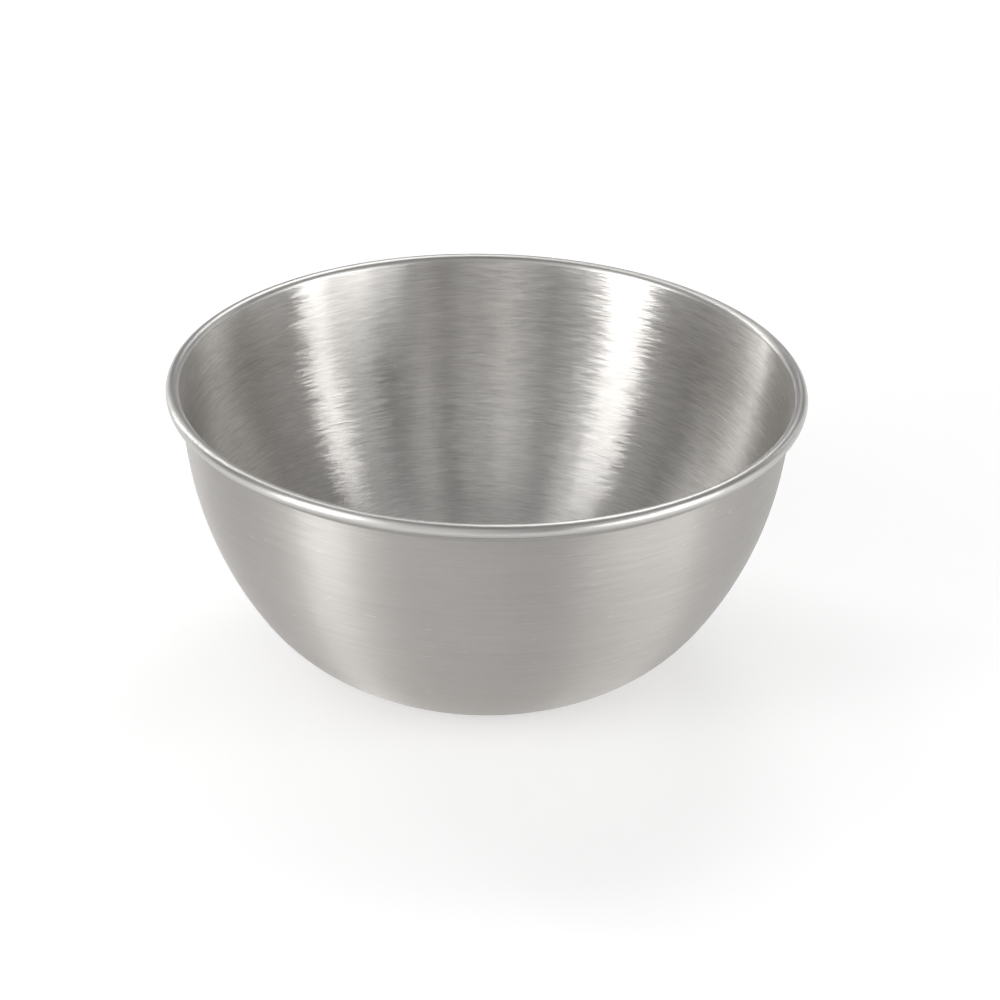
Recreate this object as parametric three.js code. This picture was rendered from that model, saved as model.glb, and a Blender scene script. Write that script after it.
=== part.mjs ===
// A deep round mixing bowl, drawn from one disc of stainless sheet. The sheet runs from a flat base
// through three bends of growing radius into a straight, slightly flared wall. Its edge is rolled
// outwards over a round wire, which makes the bead of the rim.
//
// Millimetres, +Z up. The origin is the centre of the flat base's underside.

import * as THREE from 'three';

// Driving dimensions
const RIM_RADIUS = 120; // outside of the bead
const BEAD_RADIUS = 2.6; // outside of the rolled sheet, seen in section
const SHEET = 0.8;
const WIRE_RADIUS = 1.5;
const CREASE = 0.35; // slit between the rolled edge and the wall
const STRAIGHT = 22.5; // wall above the last bend, along its slope

// The bends from the base's edge upwards: radius of the outer face, and the slope from level
// that the sheet has reached where the bend ends
const BENDS = [
  { radius: 30, slope: rad(23), facets: 3 },
  { radius: 74.5, slope: rad(55), facets: 5 },
  { radius: 140, slope: rad(82), facets: 4 },
];

// Facets
const ROUND_FACETS = 72;
const CURL_FACETS = 11;
const WIRE_FACETS = 10;

const STEEL = { color: 0xc3c2be, metalness: 1, roughness: 0.3 };
const DRAWN_WIRE = { color: 0xa9a9a6, metalness: 1, roughness: 0.45 };

const wallSlope = BENDS.at(-1).slope;
const beadCentreRadius = RIM_RADIUS - BEAD_RADIUS;
const curlHollow = BEAD_RADIUS - SHEET;
const section = wallSection();

const bowl = new THREE.Group();
bowl.add(revolved('bowl_shell', shellOutline(), STEEL));
bowl.add(revolved('rim_wire', wireOutline(), DRAWN_WIRE));

export default bowl;

function rad(degrees) {
  return THREE.MathUtils.degToRad(degrees);
}

// Points on an arc about a centre, both ends included
function arc(centre, radius, from, to, facets) {
  const points = [];
  for (let i = 0; i <= facets; i += 1) {
    const angle = from + ((to - from) * i) / facets;
    points.push(new THREE.Vector2(centre.x + radius * Math.cos(angle), centre.y + radius * Math.sin(angle)));
  }
  return points;
}

// Where each bend's centre is, the height of the bead's centre and the radius of the flat base.
// Each bend starts where the one below ends, so its centre lies on the line of that end's normal.
function wallSection() {
  const bends = [];
  let run = 0;
  let rise = 0;
  let slope = 0;
  for (const bend of BENDS) {
    const centre = new THREE.Vector2(run - bend.radius * Math.sin(slope), rise + bend.radius * Math.cos(slope));
    bends.push({ ...bend, centre, from: slope });
    run = centre.x + bend.radius * Math.sin(bend.slope);
    rise = centre.y - bend.radius * Math.cos(bend.slope);
    slope = bend.slope;
  }
  run += STRAIGHT * Math.cos(slope);
  rise += STRAIGHT * Math.sin(slope);
  const baseRadius = beadCentreRadius - curlHollow * Math.sin(slope) - run;
  bends.forEach((bend) => bend.centre.setX(bend.centre.x + baseRadius));
  return { bends, baseRadius, beadHeight: rise - curlHollow * Math.cos(slope) };
}

// One face of the base and the bends, from the axis to the top of the last bend.
// An inset of 0 gives the outer face, and an inset of the sheet's thickness the inner face.
function wallFace(inset) {
  const points = [new THREE.Vector2(0, inset), new THREE.Vector2(section.baseRadius, inset)];
  for (const bend of section.bends) {
    const from = bend.from - Math.PI / 2;
    const to = bend.slope - Math.PI / 2;
    points.push(...arc(bend.centre, bend.radius - inset, from, to, bend.facets).slice(1));
  }
  return points;
}

// Up the outer face, round the inside of the curl, back round its outside and down the inner face.
// The straight wall is tangent to the curl, and the curl stops short of the wall's outer face.
function shellOutline() {
  const centre = new THREE.Vector2(beadCentreRadius, section.beadHeight);
  const tangent = wallSlope + Math.PI / 2;
  const edge = tangent + Math.acos((curlHollow - CREASE) / BEAD_RADIUS) - 2 * Math.PI;
  return [
    ...wallFace(0),
    ...arc(centre, curlHollow, tangent, edge, CURL_FACETS),
    ...arc(centre, BEAD_RADIUS, edge, tangent, CURL_FACETS),
    ...wallFace(SHEET).reverse(),
  ];
}

function wireOutline() {
  const centre = new THREE.Vector2(beadCentreRadius, section.beadHeight);
  const circle = arc(centre, WIRE_RADIUS, 0, 2 * Math.PI, WIRE_FACETS);
  circle[WIRE_FACETS].copy(circle[0]);
  return circle;
}

// A named solid of revolution about +Z
function revolved(name, outline, finish) {
  const geometry = new THREE.LatheGeometry(outline, ROUND_FACETS);
  geometry.rotateX(Math.PI / 2);
  const mesh = new THREE.Mesh(geometry, new THREE.MeshStandardMaterial(finish));
  mesh.name = name;
  return mesh;
}
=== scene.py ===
import math

import bpy
from mathutils import Matrix, Vector


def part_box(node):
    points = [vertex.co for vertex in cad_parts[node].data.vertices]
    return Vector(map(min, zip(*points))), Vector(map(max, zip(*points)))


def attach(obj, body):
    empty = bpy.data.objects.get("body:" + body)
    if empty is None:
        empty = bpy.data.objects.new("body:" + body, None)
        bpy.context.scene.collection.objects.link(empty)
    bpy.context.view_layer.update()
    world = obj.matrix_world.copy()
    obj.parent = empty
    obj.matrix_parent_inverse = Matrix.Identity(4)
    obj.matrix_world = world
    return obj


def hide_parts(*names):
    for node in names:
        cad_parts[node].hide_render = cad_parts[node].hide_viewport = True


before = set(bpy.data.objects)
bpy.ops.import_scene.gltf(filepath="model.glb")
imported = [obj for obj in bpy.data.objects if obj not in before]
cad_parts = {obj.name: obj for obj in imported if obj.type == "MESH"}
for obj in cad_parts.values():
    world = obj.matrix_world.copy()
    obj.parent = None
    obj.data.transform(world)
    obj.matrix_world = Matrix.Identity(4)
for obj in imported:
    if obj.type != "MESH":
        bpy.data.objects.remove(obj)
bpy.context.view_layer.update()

# Sizes in metres. The outside ones come from the frame, and the sheet's own are the maker's.
shell_low, shell_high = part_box("bowl_shell")
wire_low, wire_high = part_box("rim_wire")
RIM_RADIUS = shell_high.x
WIRE_RADIUS = (wire_high.z - wire_low.z) / 2
SHEET = 0.0008
BEAD_RADIUS = 0.0026
CREASE = 0.00035
STRAIGHT = 0.0225
# Each bend of the wall from the base's edge up: radius of the outer face, slope reached
BENDS = ((0.030, math.radians(23)), (0.0745, math.radians(55)), (0.140, math.radians(82)))
WALL_SLOPE = BENDS[-1][1]
BEAD_CENTRE = Vector((RIM_RADIUS - BEAD_RADIUS, shell_high.z - BEAD_RADIUS))
CURL_HOLLOW = BEAD_RADIUS - SHEET

# How finely curves are divided
ROUND_FACETS = 288
BEND_STEP = math.radians(2)
CURL_STEP = math.radians(10)
TIP_STEP = math.radians(30)
WIRE_STEP = math.radians(15)
BASE_RINGS = 3
STRAIGHT_PARTS = 4

# A drawn bowl is never quite round. The drift is a part of the radius, and its noise has this many
# features across a radius and up a metre of height.
OUT_OF_ROUND = 0.0006
DRIFTS_ROUND = 1.1
DRIFTS_UP = 14.0
DRIFT_SEED = 3.0

# The faces that have a finish of their own, as values of the attribute "side"
OUTSIDE, BEAD, INSIDE = 0.0, 1.0, 2.0

# Patterns have their stated size at this radius
PATTERN_RADIUS = 0.1
# A quarter turn, so that gloss stretches across the brush lines
GLOSS_TURN = 0.25
# Heights that the painted shade in the crease fades between, on the wall and on the bead
CREASE_FADE_OUTSIDE = (BEAD_CENTRE.y - 0.0056, BEAD_CENTRE.y - 0.0042)
CREASE_FADE_BEAD = (BEAD_CENTRE.y - 0.0025, BEAD_CENTRE.y - 0.0002)

# The studio, in metres and degrees. Azimuth 0 is the camera's side, and grows to the right.
SOFTBOX_DISTANCE = 1.3
FLOOR_REACH = 12.0
HORIZON = 1.0
SKY = 0.2
# Name, azimuth, elevation, spread, rise, brightness
SOFTBOXES = (
    ("left_foot", -57, 5.5, 18, 11, 18.0),
    ("left_low", -54, 11, 30, 22, 5.5),
    ("left_high", -54, 38, 30, 32, 3.6),
    ("left_core", -56.5, 14, 18, 29, 14.5),
    ("left_edge", -34, 14, 14, 28, 3.0),
    ("left_side", -80, 16.5, 16, 33, 1.0),
    ("right_foot", 47, 5.5, 26, 11, 15.5),
    ("right_low", 61, 11, 30, 22, 6.0),
    ("right_high", 63, 38, 30, 32, 1.4),
    ("right_core", 73, 14, 12, 29, 14.5),
    ("right_side", 94, 10, 16, 20, 2.4),
    ("front_left", -17, 16.5, 14, 33, 2.5),
    ("front", 3, 16.5, 20, 33, 1.7),
    ("front_slit", -8, 16.5, 2.5, 33, 4.0),
    ("front_right", 33, 16.5, 18, 33, 1.1),
    ("front_high", -8, 45, 44, 24, 1.6),
    ("front_right_high", 34, 45, 20, 24, 1.4),
    ("back_left", -140, 22, 14, 22, 2.0),
    ("back_left_slit", -128, 24, 3.5, 40, 40.0),
    ("back_right", 128, 22, 16, 22, 3.7),
    ("back_high", 165, 50, 30, 34, 11.5),
    ("back_high_left", -150, 52, 34, 34, 6.0),
)
CAMERA_DISTANCE = 1.498
CAMERA_ELEVATION = 25.49
CAMERA_LENS = 144.0
CAMERA_PAN = -0.217
CAMERA_TILT = -1.623
CAMERA_ROLL = 1.113


# Node trees written as expressions


class Wire:
    """An output socket. Arithmetic on it adds Math nodes to its tree."""

    def __init__(self, tree, socket):
        self.tree = tree
        self.socket = socket

    def math(self, operation, *values):
        return self.tree.add("ShaderNodeMath", {"operation": operation}, dict(enumerate(values)))

    def __add__(self, other):
        return self.math("ADD", self, other)

    def __radd__(self, other):
        return self.math("ADD", other, self)

    def __sub__(self, other):
        return self.math("SUBTRACT", self, other)

    def __rsub__(self, other):
        return self.math("SUBTRACT", other, self)

    def __mul__(self, other):
        return self.math("MULTIPLY", self, other)

    def __rmul__(self, other):
        return self.math("MULTIPLY", other, self)

    def __truediv__(self, other):
        return self.math("DIVIDE", self, other)

    def __pow__(self, other):
        return self.math("POWER", self, other)

    def __gt__(self, other):
        return self.math("GREATER_THAN", self, other)


class Tree:
    """A node tree that nodes are added to by type, settings and inputs."""

    def __init__(self, tree):
        self.tree = tree

    def add(self, kind, settings=None, inputs=None, output=0):
        node = self.tree.nodes.new(kind)
        for name, value in (settings or {}).items():
            if name == "stops":
                self.set_stops(node.color_ramp, value)
            else:
                setattr(node, name, value)
        for name, value in (inputs or {}).items():
            if isinstance(value, Wire):
                self.tree.links.new(value.socket, node.inputs[name])
            else:
                node.inputs[name].default_value = value
        return Wire(self, node.outputs[output]) if len(node.outputs) else node

    def set_stops(self, ramp, stops):
        while len(ramp.elements) < len(stops):
            ramp.elements.new(1.0)
        for element, (position, value) in zip(ramp.elements, stops):
            element.position = position
            element.color = (value, value, value, 1.0)

    def vector(self, x, y, z):
        return self.add("ShaderNodeCombineXYZ", inputs={"X": x, "Y": y, "Z": z})

    def parts(self, vector):
        split = self.tree.nodes.new("ShaderNodeSeparateXYZ")
        self.tree.links.new(vector.socket, split.inputs[0])
        return [Wire(self, socket) for socket in split.outputs]

    def noise(self, vector, detail=2.0, roughness=0.5):
        """Noise from about 0 to 1, one feature to a unit of its vector."""
        return self.add(
            "ShaderNodeTexNoise",
            {"noise_dimensions": "3D"},
            {"Vector": vector, "Scale": 1.0, "Detail": detail, "Roughness": roughness},
        )

    def ramp(self, value, stops):
        return self.add("ShaderNodeValToRGB", {"stops": stops}, {"Fac": value})


# The sheet's section


def arc(centre, radius, start, end, step):
    """Points on an arc in the section's plane, both ends included."""
    count = max(2, math.ceil(abs(end - start) / step))
    angles = [start + (end - start) * i / count for i in range(count + 1)]
    return [centre + radius * Vector((math.cos(a), math.sin(a))) for a in angles]


def wall_bends():
    """(centre, outer radius, start slope, end slope) of each bend, and the flat base's radius."""
    bends = []
    edge = Vector((0.0, 0.0))
    slope = 0.0
    for radius, reached in BENDS:
        centre = edge + radius * Vector((-math.sin(slope), math.cos(slope)))
        bends.append((centre, radius, slope, reached))
        edge = centre + radius * Vector((math.sin(reached), -math.cos(reached)))
        slope = reached
    run = edge.x + STRAIGHT * math.cos(slope)
    base_radius = BEAD_CENTRE.x - CURL_HOLLOW * math.sin(slope) - run
    shift = Vector((base_radius, 0.0))
    return [(centre + shift, *rest) for centre, *rest in bends], base_radius


def wall_face(inset):
    """A face of the base and the bends, from the axis to the last bend's top."""
    bends, base_radius = wall_bends()
    points = [Vector((base_radius * i / BASE_RINGS, inset)) for i in range(BASE_RINGS + 1)]
    for centre, radius, start, end in bends:
        quarter = math.pi / 2
        points += arc(centre, radius - inset, start - quarter, end - quarter, BEND_STEP)[1:]
    return points


def straight(start, end):
    """Points between two points, neither of them included."""
    return [start.lerp(end, i / STRAIGHT_PARTS) for i in range(1, STRAIGHT_PARTS)]


def shell_section():
    """[(point, which face)] up the outer face, round the curl and down the inner face."""
    tangent = WALL_SLOPE + math.pi / 2
    edge = tangent + math.acos((CURL_HOLLOW - CREASE) / BEAD_RADIUS) - math.tau
    outer = wall_face(0.0)
    inner = wall_face(SHEET)
    under = arc(BEAD_CENTRE, CURL_HOLLOW, tangent, edge, CURL_STEP)
    middle = BEAD_CENTRE + (CURL_HOLLOW + SHEET / 2) * Vector((math.cos(edge), math.sin(edge)))
    tip = arc(middle, SHEET / 2, edge + math.pi, edge, TIP_STEP)
    over = arc(BEAD_CENTRE, BEAD_RADIUS, edge, tangent, CURL_STEP)
    outside = outer + straight(outer[-1], under[0])
    bead = under[:-1] + tip[:-1] + over
    inside = straight(over[-1], inner[-1]) + inner[::-1]
    faces = ((outside, OUTSIDE), (bead, BEAD), (inside, INSIDE))
    return [(point, side) for points, side in faces for point in points]


def wire_section():
    return [(point, BEAD) for point in arc(BEAD_CENTRE, WIRE_RADIUS, 0.0, math.tau, WIRE_STEP)]


# Turning a section about the bowl's axis


def turning_tree():
    """Geometry Nodes that turn the section's points about Z and give each face its finish.
    The section is a row of points in the XZ plane, each with the attribute "side"."""
    group = bpy.data.node_groups.new("turned about the axis", "GeometryNodeTree")
    face = group.interface
    face.new_socket("Section", in_out="INPUT", socket_type="NodeSocketGeometry")
    for name, kind in (
        ("Points", "NodeSocketInt"),
        ("Facets", "NodeSocketInt"),
        ("Out of round", "NodeSocketFloat"),
        ("Seed", "NodeSocketFloat"),
        ("Outside finish", "NodeSocketMaterial"),
        ("Bead finish", "NodeSocketMaterial"),
        ("Inside finish", "NodeSocketMaterial"),
    ):
        face.new_socket(name, in_out="INPUT", socket_type=kind)
    face.new_socket("Turned", in_out="OUTPUT", socket_type="NodeSocketGeometry")
    tree = Tree(group)
    given = group.nodes.new("NodeGroupInput")
    value = {socket.name: Wire(tree, socket) for socket in given.outputs if socket.name}

    place = tree.add("GeometryNodeInputPosition")
    grid = tree.add(
        "GeometryNodeMeshGrid",
        inputs={
            "Size X": 1.0,
            "Size Y": 1.0,
            "Vertices X": value["Points"],
            "Vertices Y": value["Facets"] + 1,
        },
    )
    along, around, _ = tree.parts(place)
    steps = (along + 0.5) * (value["Points"] - 1)
    index = steps.math("ROUND", steps)
    angle = (around + 0.5) * math.tau

    def sampled(field, data_type, output=0):
        return tree.add(
            "GeometryNodeSampleIndex",
            {"data_type": data_type, "domain": "POINT"},
            {"Geometry": value["Section"], "Value": field, "Index": index},
            output,
        )

    radius, _, height = tree.parts(sampled(place, "FLOAT_VECTOR"))
    cosine = angle.math("COSINE", angle)
    sine = angle.math("SINE", angle)
    drift = tree.noise(
        tree.vector(cosine * DRIFTS_ROUND + value["Seed"], sine * DRIFTS_ROUND, height * DRIFTS_UP), 1.0
    )
    true_radius = radius * (1 + (drift - 0.5) * value["Out of round"])
    side = tree.add("GeometryNodeInputNamedAttribute", {"data_type": "FLOAT"}, {"Name": "side"})
    marked = tree.add(
        "GeometryNodeStoreNamedAttribute",
        {"data_type": "FLOAT", "domain": "POINT"},
        {"Geometry": grid, "Name": "side", "Value": sampled(side, "FLOAT")},
    )
    swept = tree.vector(true_radius * cosine, true_radius * sine, height)
    shaped = tree.add("GeometryNodeSetPosition", inputs={"Geometry": marked, "Position": swept})
    closed = tree.add("GeometryNodeMergeByDistance", inputs={"Geometry": shaped, "Distance": 1e-6})
    faced = tree.add("GeometryNodeFlipFaces", inputs={"Mesh": closed})
    smooth = tree.add("GeometryNodeSetShadeSmooth", inputs={"Geometry": faced, "Shade Smooth": True})
    real = tree.add("GeometryNodeRealizeInstances", inputs={"Geometry": smooth})
    finished = tree.add(
        "GeometryNodeSetMaterial", inputs={"Geometry": real, "Material": value["Outside finish"]}
    )
    stored = tree.add("GeometryNodeInputNamedAttribute", {"data_type": "FLOAT"}, {"Name": "side"})
    between = 0.4
    for name, least in (("Bead finish", OUTSIDE + between), ("Inside finish", BEAD + between)):
        finished = tree.add(
            "GeometryNodeSetMaterial",
            inputs={"Geometry": finished, "Selection": stored > least, "Material": value[name]},
        )
    tree.add("NodeGroupOutput", inputs={"Turned": finished})
    return group


def turned(name, section, tree, finishes):
    """A section turned about the axis by the tree, as a plain closed mesh."""
    mesh = bpy.data.meshes.new(name)
    mesh.from_pydata([(p.x, 0.0, p.y) for p, _ in section], [], [])
    sides = mesh.attributes.new("side", "FLOAT", "POINT")
    sides.data.foreach_set("value", [side for _, side in section])
    piece = bpy.data.objects.new(name, mesh)
    bpy.context.scene.collection.objects.link(piece)
    modifier = piece.modifiers.new("turned", "NODES")
    modifier.node_group = tree
    values = {
        "Points": len(section),
        "Facets": ROUND_FACETS,
        "Out of round": OUT_OF_ROUND,
        "Seed": DRIFT_SEED,
        "Outside finish": finishes[0],
        "Bead finish": finishes[1],
        "Inside finish": finishes[2],
    }
    for item in tree.interface.items_tree:
        if item.name in values:
            modifier[item.identifier] = values[item.name]
    bpy.context.view_layer.update()
    made = piece.evaluated_get(bpy.context.evaluated_depsgraph_get())
    piece.data = bpy.data.meshes.new_from_object(made)
    piece.data.name = name
    piece.modifiers.clear()
    return piece


# Finishes


class Finish(Tree):
    """A steel finish whose patterns run round the bowl and along its wall."""

    def __init__(self, name):
        material = bpy.data.materials.new(name)
        material.use_nodes = True
        material.node_tree.nodes.clear()
        super().__init__(material.node_tree)
        self.material = material
        place = self.add("ShaderNodeTexCoord", output="Object")
        x, y, height = self.parts(place)
        reach = (x * x + y * y + 1e-9) ** 0.5
        self.east = x / reach
        self.north = y / reach
        self.reach = reach
        self.height = height
        self.along = reach + height

    def lines(self, width, length, detail=3.0, roughness=0.6, lean=(0.0, 0.0), shift=0.0):
        """Brush lines round the bowl, of about that width and length in metres. With a lean
        they climb and fall by that much in one turn."""
        per_turn = PATTERN_RADIUS / length
        climb = self.along + self.east * lean[0] + self.north * lean[1]
        return self.noise(
            self.vector(self.east * per_turn + shift, self.north * per_turn, climb * (1 / width)),
            detail,
            roughness,
        )

    def patches(self, size, shift=0.0):
        """Cloudy patches of about that size in metres."""
        scale = 1 / size
        per_turn = PATTERN_RADIUS * scale
        return self.noise(
            self.vector(self.east * per_turn + shift, self.north * per_turn, self.along * scale)
        )

    def above(self, low, high):
        """0 under the low height, rising to 1 at the high one."""
        return self.ramp((self.height - low) * (1 / (high - low)), ((0.0, 0.0), (1.0, 1.0)))

    def turned_aside(self, amount):
        """The surface's normal, turned along the way round the bowl by that many radians."""
        here = self.add("ShaderNodeNewGeometry", output="Normal")
        way_round = self.add(
            "ShaderNodeVectorTransform",
            {"vector_type": "VECTOR", "convert_from": "OBJECT", "convert_to": "WORLD"},
            {"Vector": self.vector(0 - self.north, self.east, 0.0)},
        )
        turn = self.add("ShaderNodeVectorMath", {"operation": "SCALE"}, {0: way_round, "Scale": amount})
        both = self.add("ShaderNodeVectorMath", {"operation": "ADD"}, {0: here, 1: turn})
        return self.add("ShaderNodeVectorMath", {"operation": "NORMALIZE"}, {0: both})

    def steel(self, colour, roughness, height, depth, anisotropy, aside):
        """Brushed steel: gloss stretched across lines that run round the bowl."""
        facing = self.turned_aside(aside)
        bump = self.add(
            "ShaderNodeBump", inputs={"Strength": 1.0, "Distance": depth, "Height": height, "Normal": facing}
        )
        round_the_bowl = self.add("ShaderNodeTangent", {"direction_type": "RADIAL", "axis": "Z"})
        shader = self.add(
            "ShaderNodeBsdfPrincipled",
            inputs={
                "Base Color": colour,
                "Metallic": 1.0,
                "Roughness": roughness,
                "Anisotropic": anisotropy,
                "Anisotropic Rotation": GLOSS_TURN,
                "Normal": bump,
                "Tangent": round_the_bowl,
            },
        )
        self.add("ShaderNodeOutputMaterial", inputs={"Surface": shader})
        return self.material

    def tinted(self, amount, dark, light):
        """A colour between two, by a value from 0 to 1. A value outside that goes past the two."""
        return self.add(
            "ShaderNodeMix",
            {"data_type": "RGBA", "clamp_factor": False},
            {0: amount, 6: (*dark, 1.0), 7: (*light, 1.0)},
            output=2,
        )


def brushed_inside():
    """Short brush lines that cross at small angles, with longer ones and a few scratches."""
    finish = Finish("brushed_inside")
    level = finish.lines(0.0006, 0.010, detail=2.0)
    rising = finish.lines(0.0007, 0.008, detail=2.0, lean=(0.011, 0.006), shift=7.0)
    falling = finish.lines(0.0007, 0.008, detail=2.0, lean=(-0.008, 0.011), shift=13.0)
    long = finish.lines(0.0016, 0.080, shift=29.0)
    rings = finish.lines(0.006, 0.5, detail=1.0, shift=17.0)
    steep = finish.lines(0.0012, 0.030, detail=0.0, lean=(0.020, -0.012), shift=21.0)
    scratches = finish.ramp(steep, ((0.78, 0.0), (0.83, 1.0)))
    brushing = (level + rising + falling) / 3
    height = brushing * 0.9 + long * 0.5 + rings * 0.8 - scratches * 0.4
    shade = 0.5 + (brushing - 0.5) * 3.0 + (long - 0.5) * 0.7 + (finish.patches(0.05) - 0.5) * 0.3
    dark, light = (0.54, 0.526, 0.508), (0.80, 0.783, 0.760)
    colour = finish.tinted(shade - scratches * 0.3, dark, light)
    roughness = 0.28 + level * 0.06 + long * 0.04
    aside = (rising - falling) * 0.10 + (level - 0.5) * 0.06 + scratches * 0.03
    return finish.steel(colour, roughness, height, 0.00005, 1.0, aside)


def satin_outside():
    """A finer, duller satin with a few bright nicks, and painted shade in the crease under the bead."""
    finish = Finish("satin_outside")
    fine = finish.lines(0.0006, 0.012, detail=2.0)
    leaning = finish.lines(0.0008, 0.008, detail=2.0, lean=(0.008, -0.006), shift=9.0)
    long = finish.lines(0.0016, 0.060, shift=5.0)
    short = finish.lines(0.0012, 0.004, detail=0.0, shift=31.0)
    nicks = finish.ramp(short, ((0.80, 0.0), (0.84, 1.0)))
    height = fine * 0.6 + long * 0.4 + nicks * 0.5
    shade = 0.5 + (fine - 0.5) * 1.2 + (long - 0.5) * 0.7 + (finish.patches(0.04, shift=2.0) - 0.5) * 0.5
    # Painted shade: the wall is darkened in a strip right under the bead, where the crease is shaded
    painted_crease_shade = finish.above(*CREASE_FADE_OUTSIDE)
    dark, light = (0.40, 0.384, 0.368), (0.495, 0.477, 0.458)
    colour = finish.tinted(shade + nicks * 0.8 - painted_crease_shade * 1.9, dark, light)
    roughness = 0.40 + fine * 0.08 + long * 0.04
    aside = (fine - leaning) * 0.10
    return finish.steel(colour, roughness, height, 0.00004, 0.9, aside)


def rolled_bead():
    """Sheet polished and slightly dented by the rolling tool, with painted shade towards the crease."""
    finish = Finish("rolled_bead")
    fine = finish.lines(0.0006, 0.030, detail=2.0)
    dents = finish.lines(0.004, 0.012, detail=1.0, shift=5.0)
    height = fine * 0.3 + dents * 0.7
    # Painted shade: the bead's underside is darkened towards the crease below it
    painted_crease_shade = 1 - finish.above(*CREASE_FADE_BEAD)
    dark, light = (0.47, 0.461, 0.445), (0.57, 0.561, 0.545)
    colour = finish.tinted(fine - painted_crease_shade * 2.0, dark, light)
    roughness = 0.32 + fine * 0.08
    aside = (dents - 0.5) * 0.06
    return finish.steel(colour, roughness, height, 0.00002, 0.5, aside)


def drawn_wire():
    """Bright drawn wire with faint draw lines."""
    finish = Finish("drawn_wire")
    fine = finish.lines(0.0003, 0.060)
    dark, light = (0.44, 0.44, 0.43), (0.56, 0.56, 0.55)
    colour = finish.tinted(fine, dark, light)
    roughness = 0.35 + fine * 0.12
    aside = (fine - 0.5) * 0.02
    return finish.steel(colour, roughness, fine, 0.00001, 0.3, aside)


# The bowl

turning = turning_tree()
outside, bead, inside, wire = satin_outside(), rolled_bead(), brushed_inside(), drawn_wire()
shell = turned("bowl_shell_sheet", shell_section(), turning, (outside, bead, inside))
ring = turned("rim_wire_ring", wire_section(), turning, (wire, wire, wire))
for piece, node, slot in ((shell, "bowl_shell", "brushed_sheet"), (ring, "rim_wire", "drawn_wire")):
    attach(piece, "root")
    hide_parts(node)


# The studio


def from_camera_side(azimuth, elevation, distance):
    """A place about the rim's centre. Azimuth 0 is the camera's side, and grows to the right."""
    a = math.radians(azimuth)
    e = math.radians(elevation)
    level = distance * math.cos(e)
    return Vector((level * math.sin(a), -level * math.cos(a), BEAD_CENTRE.y + distance * math.sin(e)))


def softbox(name, azimuth, elevation, spread, rise, brightness):
    """A rectangle of light that faces the bowl. It covers spread degrees of azimuth and rise of
    elevation, seen from the bowl, and its brightness is in watts a square metre."""
    light = bpy.data.lights.new(name, "AREA")
    light.shape = "RECTANGLE"
    reach = 2 * SOFTBOX_DISTANCE
    light.size = reach * math.tan(math.radians(spread / 2)) * math.cos(math.radians(elevation))
    light.size_y = reach * math.tan(math.radians(rise / 2))
    light.energy = brightness * light.size * light.size_y
    box = bpy.data.objects.new(name, light)
    box.location = from_camera_side(azimuth, elevation, SOFTBOX_DISTANCE)
    aim = Vector((0.0, 0.0, BEAD_CENTRE.y / 2)) - box.location
    box.rotation_euler = aim.to_track_quat("-Z", "Y").to_euler()
    bpy.context.scene.collection.objects.link(box)


def floor():
    """A pale, softly lit table that stays as pale past the reach of the softboxes."""
    mesh = bpy.data.meshes.new("floor")
    r = FLOOR_REACH
    mesh.from_pydata([(-r, -r, 0.0), (r, -r, 0.0), (r, r, 0.0), (-r, r, 0.0)], [], [(0, 1, 2, 3)])
    paper = Finish("floor_paper")
    # The glow grows with distance, and grows soonest behind the bowl
    past = paper.reach * (1 + paper.north * 0.9)
    near, far, scale = 1.0, 3.0, 4.0
    glow = paper.ramp(past * (1 / scale), ((near / scale, 0.42), (far / scale, 0.80)))
    shader = paper.add(
        "ShaderNodeBsdfPrincipled",
        inputs={
            "Base Color": (0.70, 0.70, 0.70, 1.0),
            "Roughness": 0.9,
            "Specular IOR Level": 0.1,
            "Emission Color": glow,
            "Emission Strength": 1.0,
        },
    )
    paper.add("ShaderNodeOutputMaterial", inputs={"Surface": shader})
    mesh.materials.append(paper.material)
    sheet = bpy.data.objects.new("floor", mesh)
    bpy.context.scene.collection.objects.link(sheet)


def daylight(horizon, sky):
    """A pale horizon under a dimmer sky. The horizon is dim in front, where the camera stands."""
    world = bpy.data.worlds.new("studio")
    world.use_nodes = True
    world.node_tree.nodes.clear()
    tree = Tree(world.node_tree)
    _, back, height = tree.parts(tree.add("ShaderNodeTexCoord", output="Generated"))
    low = tree.ramp(height, ((0.10, 1.0), (0.20, 0.0)))
    behind = tree.ramp(back * 0.5 + 0.5, ((0.15, 0.0), (0.35, 1.0)))
    glow = low * behind * (horizon - sky) + sky
    background = tree.add("ShaderNodeBackground", inputs={"Color": glow, "Strength": 1.0})
    tree.add("ShaderNodeOutputWorld", inputs={"Surface": background})
    bpy.context.scene.world = world


def camera():
    """A long lens that looks down on the rim from 1.5 m, held a touch off level."""
    lens = bpy.data.cameras.new("camera")
    lens.sensor_width = 36.0
    lens.lens = CAMERA_LENS
    eye = bpy.data.objects.new("camera", lens)
    down = Matrix.Rotation(math.radians(90 - CAMERA_ELEVATION), 4, "X")
    pan = Matrix.Rotation(math.radians(CAMERA_PAN), 4, "Y")
    tilt = Matrix.Rotation(math.radians(CAMERA_TILT), 4, "X")
    roll = Matrix.Rotation(math.radians(CAMERA_ROLL), 4, "Z")
    place = Matrix.Translation(from_camera_side(0.0, CAMERA_ELEVATION, CAMERA_DISTANCE))
    eye.matrix_world = place @ down @ pan @ tilt @ roll
    bpy.context.scene.collection.objects.link(eye)
    bpy.context.scene.camera = eye


floor()
daylight(HORIZON, SKY)
for box in SOFTBOXES:
    softbox(*box)
camera()
bpy.context.scene.view_settings.view_transform = "Standard"
